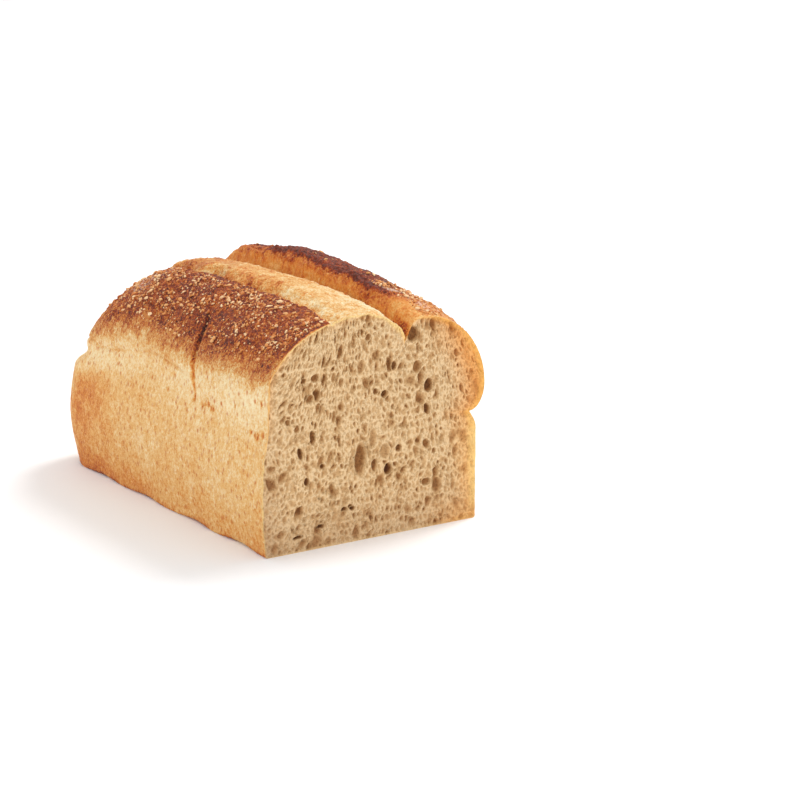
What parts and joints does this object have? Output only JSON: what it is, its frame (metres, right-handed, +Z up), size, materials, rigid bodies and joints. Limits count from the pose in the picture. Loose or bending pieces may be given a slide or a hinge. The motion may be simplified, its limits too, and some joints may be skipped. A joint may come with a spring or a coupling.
{
  "type": "sourdough bread loaf, cut",
  "caption": "Tin-baked sourdough loaf with a deep score, bran flakes on its crust and an open-crumb face where its first slices were cut off.",
  "frame": {"origin": "middle of the base, on the surface that the loaf stands on", "axes": "+Y from the cut face to the baked end, +X to the right when the cut face is looked at, +Z up"},
  "size_m": [0.1256, 0.2214, 0.1209],
  "materials": {
    "crust": "baked golden brown crust, darker and rough on the shoulders, with pale bran flakes; the cut face is cream crumb with tan pores"
  },
  "bodies": {
    "root": {"loaf": "crust"}
  },
  "joints": []
}
